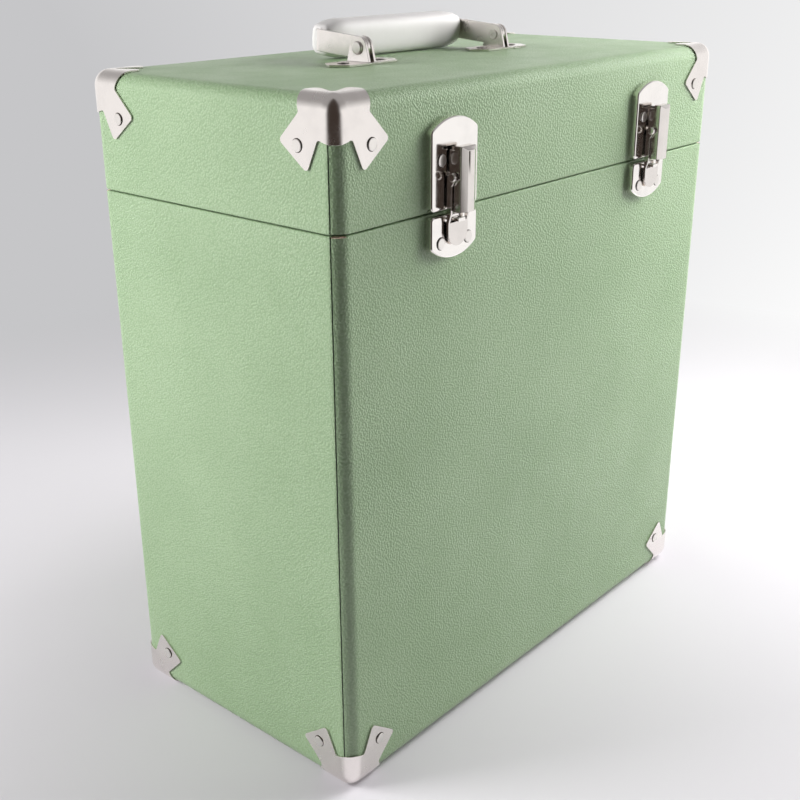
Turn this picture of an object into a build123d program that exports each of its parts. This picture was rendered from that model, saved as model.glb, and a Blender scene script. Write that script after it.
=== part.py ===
from build123d import *
import os
from math import asin, cos, degrees, radians, sin

# A record carrying case: a covered box with a deep hinged lid, stamped metal corners,
# two toggle latches on the front, two stop hinges on the back and a folding strap handle.
# Millimetres. X runs along the front to the right, Y from front to back, Z up.
# The origin is on the ground, under the middle of the case.

# ---------------------------------------------------------------- driving dimensions

# case, over its covering
case_width = 340.0
case_depth = 172.0
body_height = 300.0
lid_height = 60.0
edge_radius = 7.5
seam_gap = 0.6

# boards, covering and lining
board_thickness = 7.0
cover_thickness = 0.8
glue_line = 0.05
turn_in_depth = 15.0
cover_join_width = 0.5
cover_join_setback = 4.9
liner_thickness = 1.5
lip_height = 8.0
lip_clearance = 0.6
lining_thickness = 0.5

# rivets
rivet_head_radius = 3.25
rivet_head_height = 1.5
rivet_shank_radius = 1.6
rivet_hole_clearance = 0.05
seat_gap = 0.05

# stamped corner pieces: a place on an upright face is from its side edge and its closed end
corner_sheet = 0.8
corner_band_reach = 20.5
band_side_flare = 23.8
band_end_flare = 24.0
flap_neck = (20.9, 7.8)
flap_outer_tip = (33.9, 20.8)
flap_low_tip = (16.8, 33.7)
flap_crotch = (9.8, 18.7)
flap_tip_rounding = 2.0
flap_neck_rounding = 1.5
corner_rivet_reach = 22.2
lobe_side = 15.5
lobe_reach = 25.0
lobe_notch = 7.5
lobe_rounding = 3.0

# toggle latches: heights are from the lid seam, reliefs are out from the front covering
latch_spacing = 185.6
latch_width = 35.0
latch_relief = 4.0
latch_sheet = 1.0
latch_rim_radius = 1.0
latch_corner_radius = 2.6
latch_seam_clearance = 1.2
latch_plate_top = 44.5
latch_plate_arch = 6.0
keeper_bottom = 23.0
keeper_arch = 6.0
latch_rivet_spacing = 20.8
plate_rivet_height = 25.0
keeper_rivet_drop = 14.5
lever_pivot_out = 9.0
lever_pivot_up = 3.6
pivot_pin_radius = 1.25
running_clearance = 0.05
ear_width = 4.4
ear_sheet = 1.2
ear_middle = 3.7
lever_width = 11.5
lever_sheet = 1.0
lever_edge_radius = 0.5
lever_side_clearance = 0.55
lever_inner_relief = 5.0
lever_shoulder_relief = 11.8
lever_outer_relief = 13.7
lever_face_width = 4.8
lever_bottom_up = 0.7
lever_top_up = 31.5
lever_heel_radius = 4.1
finger_gap = 3.0
hook_pin_out = 8.2
hook_pin_up = 17.2
hook_pin_head_radius = 2.2
hook_pin_head_height = 0.8
hook_sheet = 1.2
hook_width = lever_width + 2 * (lever_side_clearance + hook_sheet)
hook_inner_relief = 5.0
hook_leg_depth = 2.6
hook_ear_radius = 2.2
hook_window_low = 5.0
hook_tongue_low = 16.8
lug_width = 5.5
lug_thickness = 1.8
lug_clearance = 0.3
lug_outer_relief = 8.5

# stop hinges on the back
hinge_leaf_width = 40.0
hinge_leaf_height = 24.0
hinge_leaf_sheet = 1.2
hinge_leaf_corner = 5.0
hinge_barrel_radius = 3.2
hinge_barrel_gap = 0.4
hinge_pin_radius = 1.6
hinge_knuckle_length = 10.0
hinge_knuckle_gap = 0.4
hinge_rivet_pitch = 13.0
hinge_rivet_from_axis = 14.0
stop_tab_length = 9.5
stop_tab_sheet = 1.2
stop_clearance = 0.3
lid_opening = 105.0

# folding handle
handle_spacing = 119.0
handle_pivot_height = 8.2
strap_thickness = 2.0
strap_width = 11.5
strap_bend_radius = 5.0
strap_side_clearance = 0.3
arm_length = 34.6
bracket_length = 51.6
bracket_width = 18.0
bracket_front_length = 37.2
bracket_sheet = 1.2
bracket_corner_rounding = 1.5
bracket_ear_sheet = 1.6
bracket_ear_base = 15.6
bracket_ear_radius = 5.9
bracket_rivet_spacing = 28.0
handle_rivet_radius = 2.0
handle_rivet_head_radius = 3.5
handle_rivet_head_height = 1.3
handle_rivet_tail_radius = 2.6
handle_rivet_tail_height = 0.6
grip_end_gap = 1.0
grip_length = handle_spacing - 2 * grip_end_gap
grip_depth = 17.0
grip_height = 20.4
grip_end_depth = 12.0
grip_end_height = 14.5
grip_taper_length = 15.0
grip_roundness = 0.42
grip_end_rounding = 2.0
grip_setback = 2.4
grip_rest_gap = 0.5

# ---------------------------------------------------------------- derived places

half_width = case_width / 2
half_depth = case_depth / 2
base_z = corner_sheet + seat_gap
seam_z = base_z + body_height
top_z = seam_z + lid_height
body_rim = seam_z - seam_gap / 2
lid_rim = seam_z + seam_gap / 2

board_inset = cover_thickness + glue_line
board_x = half_width - board_inset
board_y = half_depth - board_inset
cavity_x = board_x - board_thickness
cavity_y = board_y - board_thickness
board_radius = edge_radius - board_inset
floor_z = base_z + board_inset + board_thickness
ceiling_z = top_z - board_inset - board_thickness

liner_stand = cover_thickness + lip_clearance
liner_x = cavity_x - liner_stand
liner_y = cavity_y - liner_stand
liner_top = body_rim + lip_height

front_y = -half_depth
back_y = half_depth
hinge_y = back_y + hinge_barrel_gap + hinge_barrel_radius
far = 2 * (case_width + case_depth + body_height + lid_height)

os.makedirs("parts", exist_ok=True)


def save(piece, name):
    """Name a finished piece and write it to its own file."""
    piece.part.label = name
    export_step(piece.part, f"parts/{name}.step")


# ---------------------------------------------------------------- boards and covering


def rounded_block(size_x, size_y, low, high, radius, rounded_end):
    """A block whose upright edges, and the edges of one end, are rounded."""
    with BuildPart() as block:
        with BuildSketch(Plane.XY.offset(low)):
            Rectangle(size_x, size_y)
        extrude(amount=high - low)
        end = block.faces().sort_by(Axis.Z)[0 if rounded_end == "low" else -1]
        fillet(block.edges().filter_by(Axis.Z) + end.edges(), radius)
    return block.part


def face_plane(side, across, height, stand=0.0):
    """A plane on one face of the covered case, looking outwards, at a place on that face."""
    if side in ("front", "back"):
        sign = -1 if side == "front" else 1
        return Plane((across, sign * (half_depth + stand), height), x_dir=(1, 0, 0), z_dir=(0, sign, 0))
    sign = -1 if side == "left" else 1
    return Plane((sign * (half_width + stand), across, height), x_dir=(0, 1, 0), z_dir=(sign, 0, 0))


def corner_rivet_planes(side, height):
    """The two corner rivets at one height on one face."""
    reach = (half_width if side in ("front", "back") else half_depth) - corner_rivet_reach
    return [face_plane(side, sign * reach, height) for sign in (-1, 1)]


latch_x = [-latch_spacing / 2, latch_spacing / 2]
body_corner_rivet_z = base_z + corner_rivet_reach
lid_corner_rivet_z = top_z - corner_rivet_reach
sides = ("front", "back", "left", "right")
body_corner_rivets_at = {side: corner_rivet_planes(side, body_corner_rivet_z) for side in sides}
lid_corner_rivets_at = {side: corner_rivet_planes(side, lid_corner_rivet_z) for side in sides}


def latch_rivets_at(height):
    """The rivets of both latches at one height."""
    half = latch_rivet_spacing / 2
    return [face_plane("front", x + sign * half, height) for x in latch_x for sign in (-1, 1)]


def hinge_rivets_at(height):
    """The rivets of both hinges at one height."""
    steps = (-hinge_rivet_pitch, 0, hinge_rivet_pitch)
    return [face_plane("back", x + step, height) for x in latch_x for step in steps]


keeper_rivets_at = latch_rivets_at(seam_z - keeper_rivet_drop)
plate_rivets_at = latch_rivets_at(seam_z + plate_rivet_height)
lower_hinge_rivets_at = hinge_rivets_at(seam_z - hinge_rivet_from_axis)
upper_hinge_rivets_at = hinge_rivets_at(seam_z + hinge_rivet_from_axis)
bracket_x = [-handle_spacing / 2, handle_spacing / 2]
bracket_rivets_at = [
    Plane.XY.offset(top_z).shift_origin((x + sign * bracket_rivet_spacing / 2, 0, top_z))
    for x in bracket_x
    for sign in (-1, 1)
]

body_holes = {side: list(body_corner_rivets_at[side]) for side in sides}
body_holes["front"] += keeper_rivets_at
body_holes["back"] += lower_hinge_rivets_at
lid_holes = {side: list(lid_corner_rivets_at[side]) for side in sides}
lid_holes["front"] += plate_rivets_at
lid_holes["back"] += upper_hinge_rivets_at
lid_holes["top"] = bracket_rivets_at
rivet_hole_radius = rivet_shank_radius + rivet_hole_clearance
rivet_hole_depth = board_inset + board_thickness

body_board_block = rounded_block(
    2 * board_x, 2 * board_y, base_z + board_inset, body_rim - board_inset, board_radius, "low"
)
lid_board_block = rounded_block(
    2 * board_x, 2 * board_y, lid_rim + board_inset, top_z - board_inset, board_radius, "high"
)


def wall_board(block, side, holes):
    """One wall of a box: the part of its block that lies outside the cavity on that side."""
    sign = -1 if side in ("front", "left") else 1
    with BuildPart() as board:
        add(block)
        if side in ("front", "back"):
            middle = sign * (board_y + cavity_y) / 2
            with Locations((0, middle, 0)):
                Box(2 * cavity_x, board_thickness, far, mode=Mode.INTERSECT)
        else:
            middle = sign * (board_x + cavity_x) / 2
            with Locations((middle, 0, 0)):
                Box(board_thickness, 2 * board_y, far, mode=Mode.INTERSECT)
        with Locations(*holes[side]):
            Hole(rivet_hole_radius, depth=rivet_hole_depth)
    return board


for side in sides:
    save(wall_board(body_board_block, side, body_holes), f"body_{side}_board")
    save(wall_board(lid_board_block, side, lid_holes), f"lid_{side}_board")

with BuildPart() as base_board:
    with BuildSketch(Plane.XY.offset(base_z + board_inset)):
        Rectangle(2 * cavity_x, 2 * cavity_y)
    extrude(amount=board_thickness)
    add(body_board_block, mode=Mode.INTERSECT)
save(base_board, "base_board")

with BuildPart() as lid_top_board:
    with BuildSketch(Plane.XY.offset(ceiling_z)):
        Rectangle(2 * cavity_x, 2 * cavity_y)
    extrude(amount=board_thickness)
    add(lid_board_block, mode=Mode.INTERSECT)
    with Locations(*lid_holes["top"]):
        Hole(rivet_hole_radius, depth=rivet_hole_depth)
save(lid_top_board, "lid_top_board")


def covering(outer, boards, rim, inward, closed_end, holes):
    """Leathercloth over a box: outside, over the rim and turned in, split at its corner joins.

    inward is -1 where the box lies below its rim and 1 where it lies above.
    """
    inner_x = cavity_x - glue_line - cover_thickness
    inner_y = cavity_y - glue_line - cover_thickness
    with BuildPart() as cover:
        add(outer)
        add(boards, mode=Mode.SUBTRACT)
        with BuildSketch(Plane.XY.offset(rim)):
            Rectangle(2 * (cavity_x - glue_line), 2 * (cavity_y - glue_line))
        extrude(amount=inward * turn_in_depth)
        with BuildSketch(Plane.XY.offset(rim)):
            Rectangle(2 * inner_x, 2 * inner_y)
        extrude(amount=inward * turn_in_depth, mode=Mode.SUBTRACT)
        join_height = abs(closed_end - rim) - corner_band_reach
        for x_sign in (-1, 1):
            for y_sign in (-1, 1):
                join_y = y_sign * (half_depth - cover_join_setback)
                middle = (x_sign * half_width, join_y, rim + inward * join_height / 2)
                with Locations(middle):
                    Box(2 * cover_thickness, cover_join_width, join_height, mode=Mode.SUBTRACT)
        for planes in holes.values():
            with Locations(*planes):
                Hole(rivet_hole_radius, depth=2 * cover_thickness)
    return cover


body_outer = rounded_block(case_width, case_depth, base_z, body_rim, edge_radius, "low")
lid_outer = rounded_block(case_width, case_depth, lid_rim, top_z, edge_radius, "high")
save(covering(body_outer, body_board_block, body_rim, -1, base_z, body_holes), "body_cover")
save(covering(lid_outer, lid_board_block, lid_rim, 1, top_z, lid_holes), "lid_cover")


def liner_panel(side):
    """A greyboard panel that stands in from the wall and rises above the rim as a lip."""
    sign = -1 if side in ("front", "left") else 1
    low = floor_z + liner_thickness
    with BuildPart() as panel:
        with BuildSketch(Plane.XY.offset(low)):
            if side in ("front", "back"):
                with Locations((0, sign * (liner_y - liner_thickness / 2))):
                    Rectangle(2 * liner_x, liner_thickness)
            else:
                with Locations((sign * (liner_x - liner_thickness / 2), 0)):
                    Rectangle(liner_thickness, 2 * (liner_y - liner_thickness))
        extrude(amount=liner_top - low)
        top = panel.faces().sort_by(Axis.Z)[-1]
        fillet(top.edges().filter_by(Axis.Y if side in ("left", "right") else Axis.X), liner_thickness / 3)
    return panel


for side in sides:
    save(liner_panel(side), f"liner_{side}")

with BuildPart() as liner_floor:
    with BuildSketch(Plane.XY.offset(floor_z)):
        Rectangle(2 * (cavity_x - glue_line), 2 * (cavity_y - glue_line))
    extrude(amount=liner_thickness)
save(liner_floor, "liner_floor")

# paper lining of the lid: its ceiling and the walls above the turned-in covering
lining_x = cavity_x - glue_line
lining_y = cavity_y - glue_line
lining_low = lid_rim + turn_in_depth + glue_line
lining_high = ceiling_z - glue_line
with BuildPart() as lid_lining:
    with BuildSketch(Plane.XY.offset(lining_low)):
        Rectangle(2 * lining_x, 2 * lining_y)
    extrude(amount=lining_high - lining_low)
    with BuildSketch(Plane.XY.offset(lining_low)):
        Rectangle(2 * (lining_x - lining_thickness), 2 * (lining_y - lining_thickness))
    extrude(amount=lining_high - lining_thickness - lining_low, mode=Mode.SUBTRACT)
save(lid_lining, "lid_lining")

# ---------------------------------------------------------------- stamped corner pieces

# one piece is drawn at a case corner where the case fills +X, +Y and +Z, then turned to all eight
sheet_inner = seat_gap
sheet_outer = seat_gap + corner_sheet
stamp_depth = edge_radius / 2


def corner_block(stand):
    """The end of the case at one corner, grown outwards by the given amount."""
    size = 2 * flap_low_tip[1]
    with BuildPart() as block:
        with Locations(((size - stand) / 2,) * 3):
            Box(size + stand, size + stand, size + stand)
        low_faces = [block.faces().sort_by(axis)[0] for axis in (Axis.X, Axis.Y, Axis.Z)]
        edges = [
            edge
            for edge in block.edges()
            if sum(face.distance_to(edge.center()) < 0.001 for face in low_faces) == 2
        ]
        fillet(edges, edge_radius + stand)
    return block.part


def corners_at(outline, *places):
    """The corners of an outline that lie at the given places."""
    return [v for v in outline.vertices() if min(abs(v.X - x) + abs(v.Y - y) for x, y in places) < 0.01]


def flap_outline():
    """The outline on an upright face: a band round the edges and a flap over the rivet."""
    edge = -2 * sheet_outer
    with BuildSketch() as outline:
        with BuildLine():
            Polyline(
                (edge, edge),
                (band_side_flare, edge),
                (band_side_flare, 0),
                flap_neck,
                flap_outer_tip,
                flap_low_tip,
                flap_crotch,
                (stamp_depth, corner_band_reach),
                (edge, corner_band_reach),
                close=True,
            )
        make_face()
        fillet(corners_at(outline, flap_outer_tip, flap_low_tip), flap_tip_rounding)
        fillet(corners_at(outline, flap_neck, flap_crotch), flap_neck_rounding)
    return outline.sketch


def lobe_outline():
    """The outline on the top or bottom face: two round lobes with a notch between them."""
    edge = -2 * sheet_outer
    start = corner_band_reach + sheet_outer
    with BuildSketch() as outline:
        with BuildLine():
            Polyline(
                (edge, edge),
                (start, edge),
                (start, 0),
                (band_end_flare, stamp_depth),
                (lobe_reach, lobe_side / 2),
                (lobe_reach, lobe_side),
                (lobe_notch, lobe_notch),
                (lobe_side, lobe_reach),
                (lobe_side / 2, lobe_reach),
                (stamp_depth, band_end_flare),
                (0, start),
                (edge, start),
                close=True,
            )
        make_face()
        fillet(corners_at(outline, (lobe_reach, lobe_side), (lobe_side, lobe_reach)), lobe_rounding)
        fillet(corners_at(outline, (lobe_notch, lobe_notch)), flap_neck_rounding)
    return outline.sketch


def stamped_corner():
    """The corner piece, with a rivet hole in each upright flap."""
    reach = stamp_depth + sheet_outer
    with BuildPart() as stamping:
        for plane, inwards in (
            (Plane((-sheet_outer, 0, 0), x_dir=(0, 1, 0), z_dir=(1, 0, 0)), 1),
            (Plane((0, -sheet_outer, 0), x_dir=(1, 0, 0), z_dir=(0, -1, 0)), -1),
        ):
            with BuildSketch(plane):
                add(flap_outline())
            extrude(amount=inwards * reach)
        with BuildSketch(Plane.XY.offset(-sheet_outer)):
            add(lobe_outline())
        extrude(amount=reach)
        add(corner_block(sheet_outer), mode=Mode.INTERSECT)
        add(corner_block(sheet_inner), mode=Mode.SUBTRACT)
        for plane in (
            Plane((-sheet_outer, corner_rivet_reach, corner_rivet_reach), z_dir=(-1, 0, 0)),
            Plane((corner_rivet_reach, -sheet_outer, corner_rivet_reach), z_dir=(0, -1, 0)),
        ):
            with Locations(plane):
                Hole(rivet_hole_radius, depth=2 * corner_sheet)
    return stamping.part


corner_piece = stamped_corner()
for end, end_z in (("bottom", base_z), ("top", top_z)):
    for depth_name, y_sign in (("front", 1), ("back", -1)):
        for width_name, x_sign in (("left", 1), ("right", -1)):
            with BuildPart() as corner:
                turned = corner_piece
                if x_sign < 0:
                    turned = turned.mirror(Plane.YZ)
                if y_sign < 0:
                    turned = turned.mirror(Plane.XZ)
                if end == "top":
                    turned = turned.mirror(Plane.XY)
                with Locations((-x_sign * half_width, -y_sign * half_depth, end_z)):
                    add(turned)
            save(corner, f"{end}_corner_{depth_name}_{width_name}")

# ---------------------------------------------------------------- rivets


def rivet(seat, head_radius=rivet_head_radius, head_height=rivet_head_height):
    """A domed rivet along +Z, whose head sits at the given height over the covering."""
    with BuildPart() as one:
        with BuildSketch(Plane.XZ):
            with BuildLine():
                top = (0, seat + head_height)
                rim = (head_radius, seat)
                sphere = (head_radius**2 + head_height**2) / (2 * head_height)
                RadiusArc(top, rim, sphere)
                Line(rim, (rivet_shank_radius, seat))
                Line((rivet_shank_radius, seat), (rivet_shank_radius, -rivet_hole_depth))
                Line((rivet_shank_radius, -rivet_hole_depth), (0, -rivet_hole_depth))
                Line((0, -rivet_hole_depth), top)
            make_face()
        revolve(axis=Axis.Z)
    return one.part


def rivet_group(planes, seat):
    """One rivet at each of these places."""
    with BuildPart() as group:
        with Locations(*planes):
            add(rivet(seat))
    return group


def all_planes(by_side):
    """The places on every face in one list."""
    return [plane for planes in by_side.values() for plane in planes]


corner_seat = sheet_outer + seat_gap
latch_seat = seat_gap + latch_relief + seat_gap
leaf_seat = seat_gap + hinge_leaf_sheet + seat_gap
bracket_seat = seat_gap + bracket_sheet + seat_gap
save(rivet_group(all_planes(body_corner_rivets_at), corner_seat), "body_corner_rivets")
save(rivet_group(all_planes(lid_corner_rivets_at), corner_seat), "lid_corner_rivets")
save(rivet_group(keeper_rivets_at, latch_seat), "latch_keeper_rivets")
save(rivet_group(plate_rivets_at, latch_seat), "latch_plate_rivets")
save(rivet_group(lower_hinge_rivets_at, leaf_seat), "hinge_body_rivets")
save(rivet_group(upper_hinge_rivets_at, leaf_seat), "hinge_lid_rivets")
save(rivet_group(bracket_rivets_at, bracket_seat), "handle_bracket_rivets")

# ---------------------------------------------------------------- toggle latches


def latch_plane(x, out=0.0):
    """The front covering at a latch, looking outwards, with its height axis from the seam."""
    return Plane((x, front_y - seat_gap - out, seam_z), x_dir=(1, 0, 0), z_dir=(0, -1, 0))


def side_plane(x):
    """The upright plane across the front at x: its first axis points out, its second up."""
    return Plane((x, front_y, seam_z), x_dir=(0, -1, 0), z_dir=(-1, 0, 0))


def plate_outline(low, high, arch, arch_up, inset=0.0):
    """A straight-sided plate with one arched end, optionally inset all round."""
    half = latch_width / 2
    with BuildSketch() as outline:
        with BuildLine():
            if arch_up:
                Polyline((-half, high - arch), (-half, low), (half, low), (half, high - arch))
                ThreePointArc((half, high - arch), (0, high), (-half, high - arch))
            else:
                Polyline((-half, low + arch), (-half, high), (half, high), (half, low + arch))
                ThreePointArc((half, low + arch), (0, low), (-half, low + arch))
        make_face()
        fillet(outline.vertices(), latch_corner_radius)
        if inset:
            offset(amount=-inset, mode=Mode.REPLACE)
    return outline.sketch


def pan(x, low, high, arch, arch_up, rivet_height):
    """A stamped pan with rolled rims, hollow behind, with its two rivet holes."""
    with BuildPart() as dish:
        with BuildSketch(latch_plane(x)):
            add(plate_outline(low, high, arch, arch_up))
        extrude(amount=latch_relief)
        front = dish.faces().sort_by(Axis.Y)[0]
        fillet(front.edges(), latch_rim_radius)
        with BuildSketch(latch_plane(x)):
            add(plate_outline(low, high, arch, arch_up, latch_sheet))
        extrude(amount=latch_relief - latch_sheet, mode=Mode.SUBTRACT)
        with Locations(latch_plane(x, latch_relief)):
            with Locations(
                (-latch_rivet_spacing / 2, rivet_height), (latch_rivet_spacing / 2, rivet_height)
            ):
                Hole(rivet_hole_radius, depth=latch_relief)
    return dish


face_out = seat_gap + latch_relief
root_out = face_out - latch_sheet

for name, x in zip(("left", "right"), latch_x):
    # upper plate on the lid, with the two ears that carry the lever
    with BuildPart() as latch_plate:
        add(pan(x, latch_seam_clearance, latch_plate_top, latch_plate_arch, True, plate_rivet_height).part)
        for ear_x in (x - ear_middle, x + ear_middle):
            with BuildSketch(side_plane(ear_x)):
                with Locations((lever_pivot_out, lever_pivot_up)):
                    Circle(ear_width / 2)
                with Locations(((root_out + lever_pivot_out) / 2, lever_pivot_up)):
                    Rectangle(lever_pivot_out - root_out, ear_width)
            extrude(amount=ear_sheet / 2, both=True)
        with BuildSketch(side_plane(x)):
            with Locations((lever_pivot_out, lever_pivot_up)):
                Circle(pivot_pin_radius + running_clearance)
        extrude(amount=lever_width, both=True, mode=Mode.SUBTRACT)
    save(latch_plate, f"latch_plate_{name}")

    # lower plate on the body, with the flat-bottomed lug that the hook pulls up against
    lug_low = -hook_window_low + lug_clearance
    with BuildPart() as latch_keeper:
        add(pan(x, -keeper_bottom, -latch_seam_clearance, keeper_arch, False, -keeper_rivet_drop).part)
        with BuildSketch(latch_plane(x, root_out - seat_gap)):
            with Locations((0, lug_low + lug_thickness / 2)):
                RectangleRounded(lug_width, lug_thickness, lug_thickness / 4)
        extrude(amount=lug_outer_relief - root_out)
    save(latch_keeper, f"latch_keeper_{name}")

    # the lever's pivot pin, a flush rivet through the plate's ears
    with BuildPart() as lever_pin:
        with BuildSketch(side_plane(x)):
            with Locations((lever_pivot_out, lever_pivot_up)):
                Circle(pivot_pin_radius)
        extrude(amount=lever_width / 2 + seat_gap, both=True)
    save(lever_pin, f"latch_lever_pin_{name}")

    # lever: a channel with bevelled edges, closed at its free end
    length = lever_top_up - lever_bottom_up
    bevel = lever_outer_relief - lever_shoulder_relief
    with BuildPart() as latch_lever:
        with BuildSketch(latch_plane(x, lever_inner_relief - seat_gap)):
            with Locations((0, (lever_top_up + lever_bottom_up) / 2)):
                Rectangle(lever_width, length)
        extrude(amount=lever_shoulder_relief - lever_inner_relief)
        with BuildSketch(latch_plane(x, lever_shoulder_relief - seat_gap)):
            with Locations((0, (lever_top_up + lever_bottom_up) / 2)):
                Rectangle(lever_width, length)
        with BuildSketch(latch_plane(x, lever_outer_relief - seat_gap)):
            with Locations((0, (lever_top_up - bevel + lever_bottom_up) / 2)):
                Rectangle(lever_face_width, length - bevel)
        loft()
        corners = latch_lever.edges().filter_by(Axis.Y).group_by(Axis.Z)[-1]
        fillet(corners, lever_sheet)
        shoulder_y = front_y - lever_shoulder_relief
        heel_z = seam_z + lever_bottom_up
        outer_edges = [
            edge
            for edge in latch_lever.edges()
            if edge.center().Y < shoulder_y + 0.01 and edge.center().Z > heel_z + 0.01
        ]
        fillet(outer_edges, lever_edge_radius)
        with BuildSketch(latch_plane(x, lever_inner_relief - seat_gap)):
            with Locations((0, (lever_top_up - lever_sheet + lever_bottom_up - lever_sheet) / 2)):
                Rectangle(lever_width - 2 * lever_sheet, length)
        extrude(amount=lever_shoulder_relief - lever_inner_relief, mode=Mode.SUBTRACT)
        with BuildSketch(latch_plane(x, lever_shoulder_relief - seat_gap)):
            with Locations((0, (lever_top_up - lever_sheet + lever_bottom_up - lever_sheet) / 2)):
                Rectangle(lever_width - 2 * lever_sheet, length)
        with BuildSketch(latch_plane(x, lever_outer_relief - lever_sheet - seat_gap)):
            with Locations((0, (lever_top_up - bevel - lever_sheet + lever_bottom_up - lever_sheet) / 2)):
                Rectangle(lever_face_width - lever_sheet, length - bevel)
        loft(mode=Mode.SUBTRACT)
        # the walls end in a round heel about the pin, and the free end stands clear for a finger
        with BuildSketch(side_plane(x)):
            with BuildLine():
                Polyline(
                    (lever_inner_relief - 1, lever_bottom_up - 1),
                    (lever_pivot_out, lever_bottom_up - 1),
                    (lever_pivot_out, lever_pivot_up),
                    (lever_inner_relief - 1, lever_pivot_up),
                    close=True,
                )
            make_face()
            with Locations((lever_pivot_out, lever_pivot_up)):
                Circle(lever_heel_radius, mode=Mode.SUBTRACT)
            with Locations((lever_inner_relief + finger_gap / 2, lever_top_up)):
                Rectangle(finger_gap, 4 * lever_sheet)
        extrude(amount=lever_width, both=True, mode=Mode.SUBTRACT)
        with BuildSketch(side_plane(x)):
            with Locations((lever_pivot_out, lever_pivot_up), (hook_pin_out, hook_pin_up)):
                Circle(pivot_pin_radius + running_clearance)
        extrude(amount=lever_width, both=True, mode=Mode.SUBTRACT)
    save(latch_lever, f"latch_lever_{name}")

    # hook: a round tongue with a window, and two legs that run up to the lever's second pin
    leg_low = -hook_tongue_low + hook_width / 2
    hook_outer = hook_inner_relief + hook_sheet
    with BuildPart() as latch_hook:
        with BuildSketch(latch_plane(x, hook_inner_relief - seat_gap)):
            with Locations((0, leg_low)):
                Circle(hook_width / 2)
            with Locations((0, (leg_low + hook_pin_up) / 2)):
                Rectangle(hook_width, hook_pin_up - leg_low)
            with Locations((0, (hook_pin_up - hook_window_low) / 2)):
                Rectangle(hook_width - 2 * hook_sheet, hook_pin_up + hook_window_low, mode=Mode.SUBTRACT)
        extrude(amount=hook_sheet)
        for leg_x in (x - (hook_width - hook_sheet) / 2, x + (hook_width - hook_sheet) / 2):
            with BuildSketch(side_plane(leg_x)):
                with BuildLine():
                    Polyline(
                        (hook_inner_relief, -hook_window_low),
                        (hook_outer, -hook_window_low),
                        (hook_inner_relief + hook_leg_depth, 0),
                        (hook_inner_relief + hook_leg_depth, hook_pin_up - 2 * hook_ear_radius),
                        (hook_pin_out + hook_ear_radius, hook_pin_up),
                        (hook_inner_relief, hook_pin_up),
                        close=True,
                    )
                make_face()
                with Locations((hook_pin_out, hook_pin_up)):
                    Circle(hook_ear_radius)
            extrude(amount=hook_sheet / 2, both=True)
        with BuildSketch(side_plane(x)):
            with Locations((hook_pin_out, hook_pin_up)):
                Circle(pivot_pin_radius + running_clearance)
        extrude(amount=hook_width, both=True, mode=Mode.SUBTRACT)
    save(latch_hook, f"latch_hook_{name}")

    # the pin that joins hook and lever, riveted over outside the hook's legs
    with BuildPart() as hook_pin:
        with BuildSketch(side_plane(x)):
            with Locations((hook_pin_out, hook_pin_up)):
                Circle(pivot_pin_radius)
        extrude(amount=hook_width / 2 + running_clearance, both=True)
        for sign in (-1, 1):
            head_at = x + sign * (hook_width / 2 + running_clearance)
            with BuildSketch(side_plane(head_at)):
                with Locations((hook_pin_out, hook_pin_up)):
                    Circle(hook_pin_head_radius)
            extrude(amount=-sign * hook_pin_head_height, taper=30)
    save(hook_pin, f"latch_hook_pin_{name}")

# ---------------------------------------------------------------- stop hinges


def hinge_side(x):
    """The upright plane across the back at x: its first axis points out, its second up."""
    return Plane((x, hinge_y, seam_z), x_dir=(0, 1, 0), z_dir=(1, 0, 0))


def barrel(x, length):
    """One knuckle of a hinge, centred at x, without its bore."""
    with BuildPart() as knuckle:
        with BuildSketch(hinge_side(x)):
            Circle(hinge_barrel_radius)
        extrude(amount=length / 2, both=True)
    return knuckle.part


leaf_inner = back_y + seat_gap
leaf_in_from_axis = hinge_y - leaf_inner
leaf_notch = hinge_barrel_radius + hinge_barrel_gap
middle_length = hinge_leaf_width - 2 * (hinge_knuckle_length + hinge_knuckle_gap)
outer_step = (hinge_leaf_width - hinge_knuckle_length) / 2


def leaf(x, sign, knuckles):
    """A leaf above (1) or below (-1) the axis, with knuckles at (offset, length) places."""
    with BuildPart() as plate:
        with BuildSketch(Plane((x, leaf_inner, seam_z), x_dir=(-1, 0, 0), z_dir=(0, 1, 0))):
            with Locations((0, sign * (hinge_leaf_height + leaf_notch) / 2)):
                RectangleRounded(hinge_leaf_width, hinge_leaf_height - leaf_notch, hinge_leaf_corner)
            with Locations((0, sign * (leaf_notch + hinge_leaf_corner / 2))):
                Rectangle(hinge_leaf_width, hinge_leaf_corner)
        extrude(amount=hinge_leaf_sheet)
        for step, length in knuckles:
            add(barrel(x + step, length))
            with BuildSketch(hinge_side(x + step)):
                with Locations((-leaf_in_from_axis + hinge_leaf_sheet / 2, sign * leaf_notch)):
                    Rectangle(hinge_leaf_sheet, 2 * leaf_notch)
            extrude(amount=length / 2, both=True)
        with BuildSketch(hinge_side(x)):
            Circle(hinge_pin_radius + running_clearance)
        extrude(amount=hinge_leaf_width, both=True, mode=Mode.SUBTRACT)
        with Locations(*hinge_rivets_at(seam_z + sign * hinge_rivet_from_axis)):
            with Locations((0, 0, leaf_seat)):
                Hole(rivet_hole_radius, depth=2 * leaf_seat)
    return plate


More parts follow.
